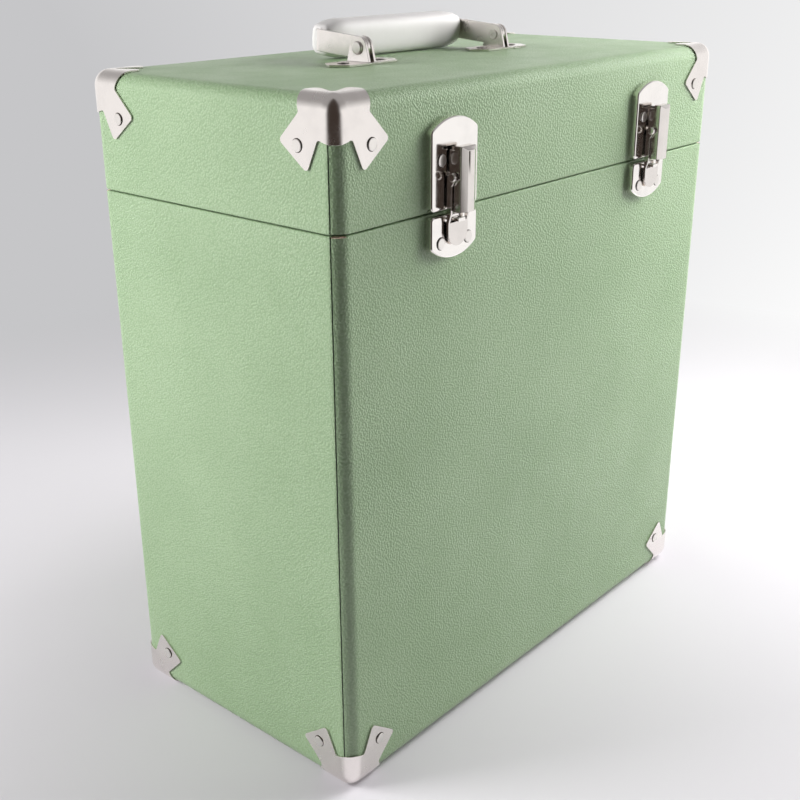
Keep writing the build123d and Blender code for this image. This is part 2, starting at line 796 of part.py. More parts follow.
stop_turn = 90 - lid_opening
stop_near = hinge_barrel_radius - stop_tab_sheet
stop_up = leaf_in_from_axis - hinge_leaf_sheet - stop_clearance - stop_tab_sheet / 2
for name, x in zip(("left", "right"), latch_x):
    outer_knuckles = ((-outer_step, hinge_knuckle_length), (outer_step, hinge_knuckle_length))
    with BuildPart() as hinge_lower:
        add(leaf(x, -1, outer_knuckles).part)
        # a tab on each outer knuckle lies where the open lid's leaf comes to rest
        for step, length in outer_knuckles:
            with BuildSketch(hinge_side(x + step)):
                with Locations(Location((0, 0, 0), (0, 0, stop_turn))):
                    with Locations(((stop_near + stop_tab_length) / 2, stop_up)):
                        Rectangle(stop_tab_length - stop_near, stop_tab_sheet)
            extrude(amount=length / 2, both=True)
    save(hinge_lower, f"hinge_lower_leaf_{name}")
    save(leaf(x, 1, ((0, middle_length),)), f"hinge_upper_leaf_{name}")
    with BuildPart() as hinge_pin:
        with BuildSketch(hinge_side(x)):
            Circle(hinge_pin_radius)
        extrude(amount=hinge_leaf_width / 2, both=True)
    save(hinge_pin, f"hinge_pin_{name}")

# ---------------------------------------------------------------- folding handle

pivot_z = top_z + handle_pivot_height
grip_reach = arm_length - grip_setback
handle_tilt = degrees(asin((grip_height / 2 + grip_rest_gap - handle_pivot_height) / grip_reach))


def across_plane(x):
    """The upright plane across the handle's axis at x: its first axis points back, its second up."""
    return Plane((x, 0, pivot_z), x_dir=(0, 1, 0), z_dir=(1, 0, 0))


for name, x in zip(("left", "right"), bracket_x):
    # bracket: a six-sided base plate with two round-topped ears
    with BuildPart() as bracket:
        with BuildSketch(Plane.XY.offset(top_z + seat_gap)) as foot:
            with Locations((x, 0)):
                Polygon(
                    (-bracket_length / 2, 0),
                    (-bracket_front_length / 2, -bracket_width / 2),
                    (bracket_front_length / 2, -bracket_width / 2),
                    (bracket_length / 2, 0),
                    (bracket_front_length / 2, bracket_width / 2),
                    (-bracket_front_length / 2, bracket_width / 2),
                )
            fillet(foot.vertices(), bracket_corner_rounding)
        extrude(amount=bracket_sheet)
        ear_low = -handle_pivot_height + seat_gap
        for sign in (-1, 1):
            ear_x = x + sign * (strap_thickness / 2 + strap_side_clearance + bracket_ear_sheet / 2)
            with BuildSketch(across_plane(ear_x)):
                Circle(bracket_ear_radius)
                with Locations((0, ear_low + bracket_sheet / 2)):
                    Rectangle(bracket_ear_base, bracket_sheet)
                make_hull()
            extrude(amount=bracket_ear_sheet / 2, both=True)
        with BuildSketch(across_plane(x)):
            Circle(handle_rivet_radius + running_clearance)
        extrude(amount=bracket_width, both=True, mode=Mode.SUBTRACT)
        for sign in (-1, 1):
            with Locations((x + sign * bracket_rivet_spacing / 2, 0, top_z + bracket_seat)):
                Hole(rivet_hole_radius, depth=2 * bracket_seat)
    save(bracket, f"handle_bracket_{name}")

    # pivot rivet: a domed head outside, a small clenched tail inside
    outside = -1 if name == "left" else 1
    stack = strap_thickness / 2 + strap_side_clearance + bracket_ear_sheet + running_clearance
    with BuildPart() as pivot_rivet:
        with BuildSketch(across_plane(x)):
            Circle(handle_rivet_radius)
        extrude(amount=stack, both=True)
        with BuildSketch(across_plane(x + outside * stack)):
            Circle(handle_rivet_head_radius)
        extrude(amount=outside * handle_rivet_head_height)
        head = pivot_rivet.faces().sort_by(Axis.X)[0 if outside < 0 else -1]
        fillet(head.edges(), 0.9 * handle_rivet_head_height)
        with BuildSketch(across_plane(x - outside * stack)):
            Circle(handle_rivet_tail_radius)
        extrude(amount=-outside * handle_rivet_tail_height)
        tail = pivot_rivet.faces().sort_by(Axis.X)[-1 if outside < 0 else 0]
        with Locations(Plane(tail.center(), z_dir=(-outside, 0, 0))):
            Hole(handle_rivet_radius / 2, depth=handle_rivet_tail_height)
    save(pivot_rivet, f"handle_pivot_rivet_{name}")

# strap and grip are drawn in the plane of the lying handle: X along the grip, Y along the arms
tilt = radians(handle_tilt)
handle_plane = Plane((0, 0, pivot_z), x_dir=(1, 0, 0), z_dir=(0, -sin(tilt), cos(tilt)))
strap_middle_half = handle_spacing / 2
strap_outer_half = strap_middle_half + strap_thickness / 2
strap_inner_half = strap_middle_half - strap_thickness / 2
strap_root = -strap_width


def strap_band(clearance):
    """The U of the strap seen along its width, grown all round by a clearance."""
    with BuildSketch() as band:
        with Locations((0, (arm_length + strap_thickness / 2 + clearance + strap_root) / 2)):
            Rectangle(
                2 * (strap_outer_half + clearance),
                arm_length + strap_thickness / 2 + clearance - strap_root,
            )
        far_corners = band.vertices().group_by(Axis.Y)[-1]
        fillet(far_corners, strap_bend_radius + strap_thickness / 2)
        with BuildSketch(mode=Mode.PRIVATE) as hollow:
            with Locations((0, (arm_length - strap_thickness / 2 - clearance + strap_root) / 2)):
                Rectangle(
                    2 * (strap_inner_half - clearance),
                    arm_length - strap_thickness / 2 - clearance - strap_root,
                )
            inner_corners = hollow.vertices().group_by(Axis.Y)[-1]
            fillet(inner_corners, strap_bend_radius - strap_thickness / 2)
        add(hollow.sketch, mode=Mode.SUBTRACT)
    return band.sketch


arm_side = Plane(handle_plane.origin, x_dir=handle_plane.y_dir, z_dir=(1, 0, 0))
with BuildPart() as handle_strap:
    with BuildSketch(handle_plane):
        add(strap_band(0))
    extrude(amount=strap_width / 2, both=True)
    with BuildSketch(arm_side):
        Circle(strap_width / 2)
        with Locations((arm_length, 0)):
            Rectangle(2 * arm_length, strap_width)
    extrude(amount=handle_spacing, both=True, mode=Mode.INTERSECT)
    with BuildSketch(arm_side):
        Circle(handle_rivet_radius + running_clearance)
    extrude(amount=handle_spacing, both=True, mode=Mode.SUBTRACT)
save(handle_strap, "handle_strap")

# the grip swells from its ends to its full section along each taper
taper_steps = (0.0, 0.35, 0.7, 1.0)
grip_axis = handle_plane.origin + handle_plane.y_dir * grip_reach


def grip_plane(reach):
    """The plane across the grip at a distance along it from the middle."""
    return Plane(grip_axis + Vector(reach, 0, 0), x_dir=handle_plane.y_dir, z_dir=(1, 0, 0))


with BuildPart() as handle_grip:
    for sign in (-1, 1):
        for step in taper_steps:
            rest = (1 - step) ** 2
            deep = grip_depth - rest * (grip_depth - grip_end_depth)
            tall = grip_height - rest * (grip_height - grip_end_height)
            with BuildSketch(grip_plane(sign * (grip_length / 2 - step * grip_taper_length))):
                RectangleRounded(deep, tall, grip_roundness * deep)
        loft()
    straight = grip_length - 2 * grip_taper_length
    with BuildSketch(grip_plane(-straight / 2)):
        RectangleRounded(grip_depth, grip_height, grip_roundness * grip_depth)
    extrude(amount=straight)
    grip_ends = handle_grip.faces().filter_by(Axis.X)
    fillet(grip_ends.edges(), grip_end_rounding)
    with BuildSketch(handle_plane):
        add(strap_band(glue_line))
    extrude(amount=strap_width / 2 + glue_line, both=True, mode=Mode.SUBTRACT)
save(handle_grip, "handle_grip")
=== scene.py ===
# %% [markdown]
# # A record carrying case
# A covered wooden box with a deep hinged lid, stamped metal corners, two toggle latches, two
# stop hinges and a folding handle. The moving frame comes from the CAD model. This script
# builds the looks around it: the leathercloth covering, the metal finishes, the grip, and a
# plain studio. Everything is in metres, X along the front, Y to the back and Z up.

# %% Load the fixed frame
from math import asin, cos, degrees, pi, radians, sin

import bmesh
import bpy
from mathutils import Matrix, Vector, noise


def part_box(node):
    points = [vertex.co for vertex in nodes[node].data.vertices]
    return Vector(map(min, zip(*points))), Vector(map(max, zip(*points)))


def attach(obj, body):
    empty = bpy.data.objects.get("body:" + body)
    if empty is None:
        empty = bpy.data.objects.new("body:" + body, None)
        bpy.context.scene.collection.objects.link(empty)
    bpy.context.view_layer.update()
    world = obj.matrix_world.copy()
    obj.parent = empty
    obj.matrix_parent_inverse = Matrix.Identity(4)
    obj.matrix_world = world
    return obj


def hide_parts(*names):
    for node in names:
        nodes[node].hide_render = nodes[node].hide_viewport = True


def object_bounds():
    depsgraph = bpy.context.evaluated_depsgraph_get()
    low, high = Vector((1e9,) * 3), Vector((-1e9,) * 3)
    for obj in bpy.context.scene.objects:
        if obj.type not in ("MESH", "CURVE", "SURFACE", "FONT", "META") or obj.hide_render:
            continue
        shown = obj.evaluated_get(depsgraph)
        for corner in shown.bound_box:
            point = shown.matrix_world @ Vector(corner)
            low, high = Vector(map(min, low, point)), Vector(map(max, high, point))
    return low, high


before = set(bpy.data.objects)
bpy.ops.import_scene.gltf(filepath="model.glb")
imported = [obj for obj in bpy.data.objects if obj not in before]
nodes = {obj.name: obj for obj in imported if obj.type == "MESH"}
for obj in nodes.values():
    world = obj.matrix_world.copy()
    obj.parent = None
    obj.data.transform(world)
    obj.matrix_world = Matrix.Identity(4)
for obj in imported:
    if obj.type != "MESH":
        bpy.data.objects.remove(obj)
cad_low, cad_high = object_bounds()
MM = 0.001
print("CAD box, mm:", [round(v / MM, 1) for v in cad_high - cad_low])

# %% [markdown]
# ## Places taken from the frame
# The covering's outside sizes come from the CAD nodes themselves, so that each new piece lies
# where the CAD piece lay. The few sizes that a box cannot tell, such as the roundness of the
# edges, are named here.

# %% Sizes of the case
body_low, body_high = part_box("body_cover")
lid_low, lid_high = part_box("lid_cover")
half_width, half_depth = body_high.x, body_high.y
edge_radius = 7.5 * MM
cover_thickness = 0.8 * MM
wall_thickness = 8.7 * MM
turn_in_depth = 15 * MM
corner_reach = 20 * MM  # from an end of the case to the edge of its stamped corners
print("case over its covering, mm:", round(2 * half_width / MM, 1), round(2 * half_depth / MM, 1))
print("body rim and lid rim, mm:", round(body_high.z / MM, 2), round(lid_low.z / MM, 2))

# %% [markdown]
# ## From points to pieces
# A mesh is a list of points and a list of faces that name them. These helpers make an object
# of such lists, merge points that meet, and turn the faces outwards. The shapes of this case
# are mostly strings of rings, so one helper joins neighbouring rings with four-sided faces.

# %% Helpers that turn mesh data into pieces
def ring_faces(rings, count, closed=False):
    """Quads that join neighbouring rings of that many points, and the last to the first."""
    faces = []
    for low in range(rings if closed else rings - 1):
        high = (low + 1) % rings
        for k in range(count):
            after = (k + 1) % count
            faces.append((low * count + k, low * count + after,
                          high * count + after, high * count + k))
    return faces


def mesh_piece(name, vertices, faces, smooth_under=40, marks=None):
    """A new mesh object, smooth except across sharp edges, with any named marks per vertex."""
    mesh = bpy.data.meshes.new(name)
    mesh.from_pydata(vertices, [], faces)
    for mark, values in (marks or {}).items():
        mesh.attributes.new(mark, "FLOAT", "POINT").data.foreach_set("value", values)
    tidy_mesh(mesh, smooth_under)
    return linked_object(name, mesh)


def tidy_mesh(mesh, smooth_under):
    """Merge doubles, point the normals outwards and mark the sharp edges."""
    work = bmesh.new()
    work.from_mesh(mesh)
    bmesh.ops.remove_doubles(work, verts=work.verts, dist=1e-6)
    bmesh.ops.recalc_face_normals(work, faces=work.faces)
    work.to_mesh(mesh)
    work.free()
    mesh.shade_smooth()
    mesh.set_sharp_from_angle(angle=radians(smooth_under))


def linked_object(name, data):
    """A new object in the scene, at the origin."""
    item = bpy.data.objects.new(name, data)
    bpy.context.scene.collection.objects.link(item)
    return item


def finish_piece(piece, body, slot, material, *replaced):
    """Give a piece its finish, its moving body and the CAD nodes that it stands for."""
    piece.data.materials.clear()
    piece.data.materials.append(material)
    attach(piece, body)
    if replaced:
        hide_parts(*replaced)
    return piece


# %% [markdown]
# ## Leathercloth
# The covering is a PVC-coated cloth with a fine pebble grain and a soft satin gloss. The grain's
# hills are about a millimetre across, so a bump from a cell pattern makes them, with painted shade
# making the valleys a touch darker. A slow mottling keeps the large faces from looking like paint.

# %% Node helpers
def new_material(name):
    """A material with its node tree and its main shader."""
    material = bpy.data.materials.new(name)
    material.use_nodes = True
    tree = material.node_tree
    return material, tree, tree.nodes["Principled BSDF"]


def add_node(tree, kind, **values):
    """Add a node and set its properties and, where the name is a socket's, its inputs."""
    node = tree.nodes.new(kind)
    for name, value in values.items():
        if hasattr(node, name):
            setattr(node, name, value)
        else:
            node.inputs[name.replace("_", " ")].default_value = value
    return node


def object_coordinates(tree):
    """Places on a piece in its own metres, which are the same as the scene's here."""
    return add_node(tree, "ShaderNodeTexCoord").outputs["Object"]


def noise_field(tree, where, scale, detail=3.0, roughness=0.5):
    """A smooth random field of that many bumps to the metre."""
    field = add_node(tree, "ShaderNodeTexNoise", Scale=scale, Detail=detail, Roughness=roughness)
    tree.links.new(where, field.inputs["Vector"])
    return field.outputs["Fac"]


def spread(tree, value, low_in, high_in, low_out, high_out):
    """Map one range of values to another."""
    node = add_node(tree, "ShaderNodeMapRange")
    for socket, number in zip(("From Min", "From Max", "To Min", "To Max"),
                              (low_in, high_in, low_out, high_out)):
        node.inputs[socket].default_value = number
    tree.links.new(value, node.inputs["Value"])
    return node.outputs["Result"]


# %% Colour and bump helpers
def mix_colours(tree, amount, colour_a, colour_b):
    """Blend two colours, each a list of numbers or a socket, by an amount from 0 to 1."""
    node = add_node(tree, "ShaderNodeMix", data_type="RGBA")
    for index, colour in ((6, colour_a), (7, colour_b)):
        if hasattr(colour, "is_linked"):
            tree.links.new(colour, node.inputs[index])
        else:
            node.inputs[index].default_value = (*colour, 1)
    tree.links.new(amount, node.inputs[0])
    return node.outputs[2]


def bump(tree, height, depth, under=None):
    """A bump whose full height is the given depth in metres, on top of any other bump."""
    node = add_node(tree, "ShaderNodeBump", Strength=1.0, Distance=depth)
    tree.links.new(height, node.inputs["Height"])
    if under is not None:
        tree.links.new(under, node.inputs["Normal"])
    return node.outputs["Normal"]


def linear(*eight_bit):
    """Screen values of 0 to 255 as the linear numbers that a shader takes."""
    shares = [value / 255 for value in eight_bit]
    return [s / 12.92 if s <= 0.04045 else ((s + 0.055) / 1.055) ** 2.4 for s in shares]


# %% The covering's material
grain_pitch, grain_depth, weave_depth = 1.15 * MM, 0.17 * MM, 0.05 * MM
mottle_waves, sheen_waves = 14, 60
cover_green = linear(149, 172, 136)
cover_green_deep = linear(118, 145, 105)
bare_board_colour = linear(228, 208, 192)
# Painted shade for the join's groove, used where the crease mark is high.
crease_shade_colour = linear(38, 46, 34)


def grain_valleys(tree, where):
    """1 in the valleys of the pebble grain and 0 on its hills, which wander from a cell pattern."""
    cells = add_node(tree, "ShaderNodeTexVoronoi", feature="F1", Scale=1 / grain_pitch,
                     Randomness=1.0)
    wobble = add_node(tree, "ShaderNodeTexNoise", Scale=1.1 / grain_pitch, Detail=2.0)
    tree.links.new(where, wobble.inputs["Vector"])
    shift = add_node(tree, "ShaderNodeVectorMath", operation="MULTIPLY_ADD")
    shift.inputs[1].default_value = (0.45 * grain_pitch,) * 3
    tree.links.new(wobble.outputs["Color"], shift.inputs[0])
    tree.links.new(where, shift.inputs[2])
    tree.links.new(shift.outputs["Vector"], cells.inputs["Vector"])
    return spread(tree, cells.outputs["Distance"], 0.12, 0.72, 0.0, 1.0)


def leathercloth_material():
    """The covering: green cloth, painted shade in grain and groove, bare board where a fold is
    snipped.
    """
    material, tree, shader = new_material("sage_leathercloth")
    where = object_coordinates(tree)
    valleys = grain_valleys(tree, where)
    mottle = spread(tree, noise_field(tree, where, mottle_waves, 4), 0.35, 0.7, 0.0, 0.35)
    body_colour = mix_colours(tree, mottle, cover_green, cover_green_deep)
    # Painted shade: the grain's valleys are mixed towards the deep green.
    shaded = mix_colours(tree, spread(tree, valleys, 0.4, 1.0, 0.0, 0.45), body_colour,
                         cover_green_deep)
    crease = add_node(tree, "ShaderNodeAttribute", attribute_name="crease").outputs["Fac"]
    bare = add_node(tree, "ShaderNodeAttribute", attribute_name="bare_edge").outputs["Fac"]
    # Painted shade: the cloth turns near black-green in the join's groove.
    shaded = mix_colours(tree, spread(tree, crease, 0.25, 0.8, 0.0, 1.0), shaded, crease_shade_colour)
    shaded = mix_colours(tree, spread(tree, bare, 0.35, 0.6, 0.0, 1.0), shaded, bare_board_colour)
    tree.links.new(shaded, shader.inputs["Base Color"])
    tree.links.new(spread(tree, noise_field(tree, where, sheen_waves, 3), 0.3, 0.7, 0.36, 0.46),
                   shader.inputs["Roughness"])
    hills = spread(tree, valleys, 0.0, 1.0, 1.0, 0.0)
    weave = bump(tree, noise_field(tree, where, 0.5 / grain_pitch, 2), weave_depth)
    shader.inputs["Specular IOR Level"].default_value = 0.75
    tree.links.new(bump(tree, hills, grain_depth, under=weave), shader.inputs["Normal"])
    return material


leathercloth = leathercloth_material()
print("made material", leathercloth.name)

# %% [markdown]
# ## The two coverings
# Each half of the case is wrapped in one sheet that is folded over the rim and glued down
# inside. A stack of level rings makes it: every ring is a rounded rectangle with the same
# number of points, so neighbouring rings join with plain quads. The corner radius shrinks
# along the rounded edge, which gives round corners. A fine groove near each upright edge is
# the join between the front or back cloth and the side cloth, whose cut edge stands a little
# proud. At the rim's corners the fold is snipped and a little of the bare board shows. Rings
# beat a box with a bevel here, because the groove and the fold come with them, and each point
# can keep a mark that says how deep it lies in a crease or whether the board is bare there.

# %% Rings of the covering
join_setback, join_half_width, join_depth = 4.9 * MM, 0.3 * MM, 0.5 * MM
join_angle = degrees(asin((edge_radius - join_setback) / edge_radius))
join_half_turn = degrees(join_half_width / edge_radius)
groove_wall_turn, lip_end_turn = 0.3, 0.4
plain_from, plain_steps = 28, 8
lip_rise = 0.12 * MM
bare_notch = 0.45 * MM
support = 0.6 * MM
long_steps, short_steps = 26, 14
ripple_waves = 12
print("cloth join, degrees from the side face:", round(join_angle, 1))


def corner_angles():
    """Angles over one upright edge, from the side face round to the front or back face."""
    start, end = join_angle - join_half_turn, join_angle + join_half_turn
    lip = [0, 5, 10, 14.5, start - lip_end_turn]
    groove = [start, start + groove_wall_turn, end - groove_wall_turn, end]
    plain = [plain_from + (90 - plain_from) * step / plain_steps
             for step in range(plain_steps + 1)]
    return lip + groove + plain


def corner_offsets(depth):
    """How far each of those points stands out from the round: a lip, a groove, then level."""
    lip = [share * lip_rise * depth for share in (0.0, 0.2, 0.5, 0.8, 1.0, 1.0)]
    return lip + [-join_depth * depth, -join_depth * depth, 0.0] + [0.0] * (plain_steps + 1)


def corner_marks():
    """(in the join's crease, on the snipped fold) for each of those points."""
    in_crease = [0.0] * 6 + [1.0] * 2 + [0.0] * (plain_steps + 2)
    snipped = [0.0] * 8 + [1.0] * plain_steps + [0.0] * 2
    return list(zip(in_crease, snipped))


def level_ring(inset, height, depth, ripple, bare):
    """One rounded rectangle as points (x, y, z), with a (crease, bare) mark for each.

    depth is the share of the full groove, ripple the share by which the cloth wanders, and bare
    is 1 or -1 where the fold is snipped.
    """
    radius = max(edge_radius - inset, 0.02 * MM)
    across, along = half_width - inset - radius, half_depth - inset - radius
    turns = list(zip(corner_angles(), corner_offsets(depth), corner_marks()))
    points, marks = [], []

    def straight(start, end, steps):
        first = support / (end - start).length
        for share in [first] + [k / steps for k in range(1, steps)] + [1 - first]:
            points.append(start.lerp(end, share))
            marks.append((0.0, 0.0))

    quarters = ((1, 1, False), (-1, 1, True), (-1, -1, False), (1, -1, True))
    for x_sign, y_sign, backwards in quarters:
        for angle, offset, mark in reversed(turns) if backwards else turns:
            reach = radius + min(offset, radius) if offset > 0 else max(radius + offset, 0.0)
            points.append(Vector((x_sign * (across + reach * cos(radians(angle))),
                                  y_sign * (along + reach * sin(radians(angle))),
                                  -bare_notch * bare * mark[1])))
            marks.append((mark[0] * depth, mark[1] * abs(bare)))
        if backwards:
            straight(Vector((x_sign * (across + radius), y_sign * along, 0)),
                     Vector((x_sign * (across + radius), -y_sign * along, 0)), short_steps)
        else:
            straight(Vector((x_sign * across, y_sign * (along + radius), 0)),
                     Vector((-x_sign * across, y_sign * (along + radius), 0)), long_steps)
    places = [(*(p.xy * (1 - ripple * ripple_at(p, height))), height + p.z) for p in points]
    return places, marks


def ripple_at(point, height):
    """A slow unevenness of the glued cloth, from 0 to 1."""
    return 0.5 + 0.5 * noise.noise(Vector((point.x * ripple_waves, point.y * ripple_waves,
                                           height * ripple_waves)))


# %% Profile of the covering, from its flat end to inside the rim
ripple_share, calm_ends = 0.0006, 30 * MM
groove_start, groove_fade = 0.55 * corner_reach, 0.4 * corner_reach
snip_width, snip_end = 1.2 * MM, 1.5 * MM
edge_steps, wall_steps, fold_steps = 12, 20, 6


def quarter_turn(steps):
    """The angles, in radians, of a quarter of a turn in that many steps."""
    return [radians(90 * step / steps) for step in range(steps + 1)]


def outer_profile(closed_z, rim_z, up):
    """The rows from the flat end over the rounded edge and up the wall to the rim's fold."""
    rows = [(edge_radius * (1 - sin(turn)), closed_z + up * edge_radius * (1 - cos(turn)),
             0.0, 0.0, 0.0) for turn in quarter_turn(edge_steps)]
    wall_low, wall_high = edge_radius + support, abs(rim_z - closed_z) - cover_thickness - support
    between = [wall_low + (wall_high - wall_low) * k / wall_steps for k in range(1, wall_steps)]
    for rise in [wall_low] + between + [wall_high]:
        groove = min(max((rise - groove_start) / groove_fade, 0.0), 1.0)
        ends = min(1.0, (rise - wall_low) / calm_ends, (wall_high - rise) / calm_ends)
        rows.append((0.0, closed_z + up * rise, groove, ripple_share * max(ends, 0.0), 0.0))
    return rows


def fold_profile(rim_z, up):
    """The rows over the rim, where the groove runs out and the corners are snipped."""
    rows = [(cover_thickness * (1 - cos(turn)), rim_z - up * cover_thickness * (1 - sin(turn)),
             1.0 - step / fold_steps, 0.0, up if step > 1 else 0.0)
            for step, turn in enumerate(quarter_turn(fold_steps))]
    rows.append((cover_thickness + snip_width, rim_z, 0.0, 0.0, up))
    rows.append((cover_thickness + snip_end, rim_z, 0.0, 0.0, 0.0))
    rows += [(wall_thickness - cover_thickness * (1 - sin(turn)),
              rim_z - up * cover_thickness * (1 - cos(turn)), 0.0, 0.0, 0.0)
             for turn in quarter_turn(fold_steps)]
    return rows


def inner_profile(closed_z, rim_z, up):
    """The rows of the turned-in edge and of the cloth's glued face, back to the flat end."""
    turned_in, folded = rim_z - up * turn_in_depth, rim_z - up * cover_thickness
    rows = [(wall_thickness, turned_in, 0.0, 0.0, 0.0),
            (wall_thickness - cover_thickness, turned_in, 0.0, 0.0, 0.0),
            (wall_thickness - cover_thickness, folded, 0.0, 0.0, 0.0),
            (cover_thickness, folded, 0.0, 0.0, 0.0)]
    inner = edge_radius - cover_thickness
    rows += [(cover_thickness + inner * (1 - cos(turn)),
              closed_z + up * (cover_thickness + inner * (1 - sin(turn))), 0.0, 0.0, 0.0)
             for turn in quarter_turn(fold_steps)]
    return rows


def cover_profile(closed_z, rim_z):
    """(inset, height, groove depth, ripple, bare) for each ring, from the flat end to inside.

    bare is 1 or -1 where the fold is snipped, with the sign of the way to the rim.
    """
    up = 1 if rim_z > closed_z else -1
    return (outer_profile(closed_z, rim_z, up) + fold_profile(rim_z, up)
            + inner_profile(closed_z, rim_z, up))


# %% The two covering pieces
def covering(name, closed_z, rim_z):
    """The whole covering of one half: rings joined by quads, with both ends closed."""
    rings = [level_ring(*row) for row in cover_profile(closed_z, rim_z)]
    count = len(rings[0][0])
    vertices = [point for places, marks in rings for point in places]
    creases = [crease for places, marks in rings for crease, bare in marks]
    bares = [bare for places, marks in rings for crease, bare in marks]
    faces = ring_faces(len(rings), count)
    faces.append(tuple(range(count)))
    faces.append(tuple(reversed(range((len(rings) - 1) * count, len(rings) * count))))
    # The crease mark drives the painted shade in the join's groove.
    return mesh_piece(name, vertices, faces, 32, {"crease": creases, "bare_edge": bares})


for name, body, node, closed_z, rim_z in (
        ("case_covering", "case_body", "body_cover", body_low.z, body_high.z),
        ("lid_covering", "lid", "lid_cover", lid_high.z, lid_low.z)):
    cloth = covering(name, closed_z, rim_z)
    finish_piece(cloth, body, "covering", leathercloth, node)
    print("made", name, len(cloth.data.polygons), "faces")

# %% [markdown]
# ## Metal finishes
# Every fitting is nickel-plated steel. The stamped corners, the hinges, the brackets and the
# strap have a satin face, the latch plates are polished, the levers and hooks have a darker
# tint, and the rivets are worn. They are one material with other numbers, each with cloudy
# patches and fine scuffs. A mark on a mesh turns the metal dark and dull, as painted shade.

# %% Nickel materials
satin_tint, polished_tint = (0.89, 0.845, 0.815), (0.95, 0.92, 0.89)
darker_tint, worn_tint = (0.80, 0.76, 0.73), (0.88, 0.845, 0.81)
# The colour and roughness of the painted shade round the rivet heads.
rim_shade_colour, rim_shade_roughness = linear(58, 50, 44), 0.8
patch_waves, cloud_waves, scuff_waves, dent_waves = 90, 160, 900, 120
dulling, dent_depth = 0.86, 0.03 * MM


def maths(tree, operation, first, second, clamp=False):
    """One number operation between two values, each a socket or a fixed number."""
    node = add_node(tree, "ShaderNodeMath", operation=operation, use_clamp=clamp)
    for index, value in enumerate((first, second)):
        if hasattr(value, "is_linked"):
            tree.links.new(value, node.inputs[index])
        else:
            node.inputs[index].default_value = value
    return node.outputs[0]


def nickel_material(name, tint, roughness, cloud, scuff_depth):
    """Nickel plate. Cloud is how far the roughness wanders, scuff_depth how deep the marks are."""
    material, tree, shader = new_material(name)
    where = object_coordinates(tree)
    dull = tuple(dulling * value for value in tint)
    patches = spread(tree, noise_field(tree, where, patch_waves, 4), 0.45, 0.75, 0.0, 0.5)
    plate = mix_colours(tree, patches, tint, dull)
    # Painted shade: where a mesh marks it, the metal turns dark, dull and not metallic.
    rim_shade = add_node(tree, "ShaderNodeAttribute", attribute_name="rim_shade").outputs["Fac"]
    tree.links.new(mix_colours(tree, rim_shade, plate, rim_shade_colour), shader.inputs["Base Color"])
    tree.links.new(maths(tree, "SUBTRACT", 1.0, rim_shade), shader.inputs["Metallic"])
    dulled = spread(tree, noise_field(tree, where, cloud_waves, 4), 0.3, 0.75,
                    roughness, roughness + cloud)
    tree.links.new(maths(tree, "MAXIMUM", dulled, maths(tree, "MULTIPLY", rim_shade, rim_shade_roughness)),
                   shader.inputs["Roughness"])
    scuffs = noise_field(tree, where, scuff_waves, 3)
    dents = bump(tree, noise_field(tree, where, dent_waves, 1), dent_depth)
    tree.links.new(bump(tree, scuffs, scuff_depth, under=dents), shader.inputs["Normal"])
    return material


satin_nickel = nickel_material("satin_nickel", satin_tint, 0.17, 0.13, 0.0012 * MM)
polished_nickel = nickel_material("polished_nickel", polished_tint, 0.1, 0.06, 0.0003 * MM)
darker_nickel = nickel_material("darker_nickel", darker_tint, 0.12, 0.1, 0.0006 * MM)
worn_nickel = nickel_material("worn_nickel", worn_tint, 0.26, 0.16, 0.0025 * MM)
print("made materials", *(finish.name for finish in (satin_nickel, polished_nickel,
                                                     darker_nickel, worn_nickel)))

# %% [markdown]
# ## Metal pieces with softened edges
# A CAD solid has knife-sharp edges, and a real stamping never does: its edges catch the light
# as thin bright lines. Each metal piece is a merged copy of its CAD node, with flat areas
# dissolved to single faces, and a narrow bevel along every edge sharper than a set angle.

# %% Softened copies of CAD nodes
sharp_over = 32


def softened_copy(node, name, edge_width, segments):
    """A merged copy of a CAD node with a narrow round along its sharp edges."""
    mesh = nodes[node].data.copy()
    mesh.name = name
    work = bmesh.new()
    work.from_mesh(mesh)
    bmesh.ops.remove_doubles(work, verts=work.verts, dist=2e-6)
    bmesh.ops.dissolve_degenerate(work, edges=work.edges, dist=2e-6)
    bmesh.ops.dissolve_limit(work, angle_limit=radians(0.5), verts=work.verts, edges=work.edges)
    bmesh.ops.recalc_face_normals(work, faces=work.faces)
    work.to_mesh(mesh)
    work.free()
    mesh.shade_smooth()
    mesh.set_sharp_from_angle(angle=radians(sharp_over))
    piece = linked_object(name, mesh)
    bevel = piece.modifiers.new("soft_edges", "BEVEL")
    bevel.width = edge_width
    bevel.segments = segments
    bevel.limit_method = "ANGLE"
    bevel.angle_limit = radians(sharp_over)
    bevel.harden_normals = True
    return applied(piece)


def applied(piece):
    """Turn a piece's modifiers into plain mesh."""
    graph = bpy.context.evaluated_depsgraph_get()
    mesh = bpy.data.meshes.new_from_object(piece.evaluated_get(graph), depsgraph=graph)
    piece.modifiers.clear()
    piece.data = mesh
    return piece


# %% Corners, latches, hinges and handle parts
def metal_piece(node, body, slot, material, edge_width, segments=2):
    """A metal fitting in place of its CAD node."""
    piece = softened_copy(node, f"{node}_metal", edge_width, segments)
    return finish_piece(piece, body, slot, material, node)


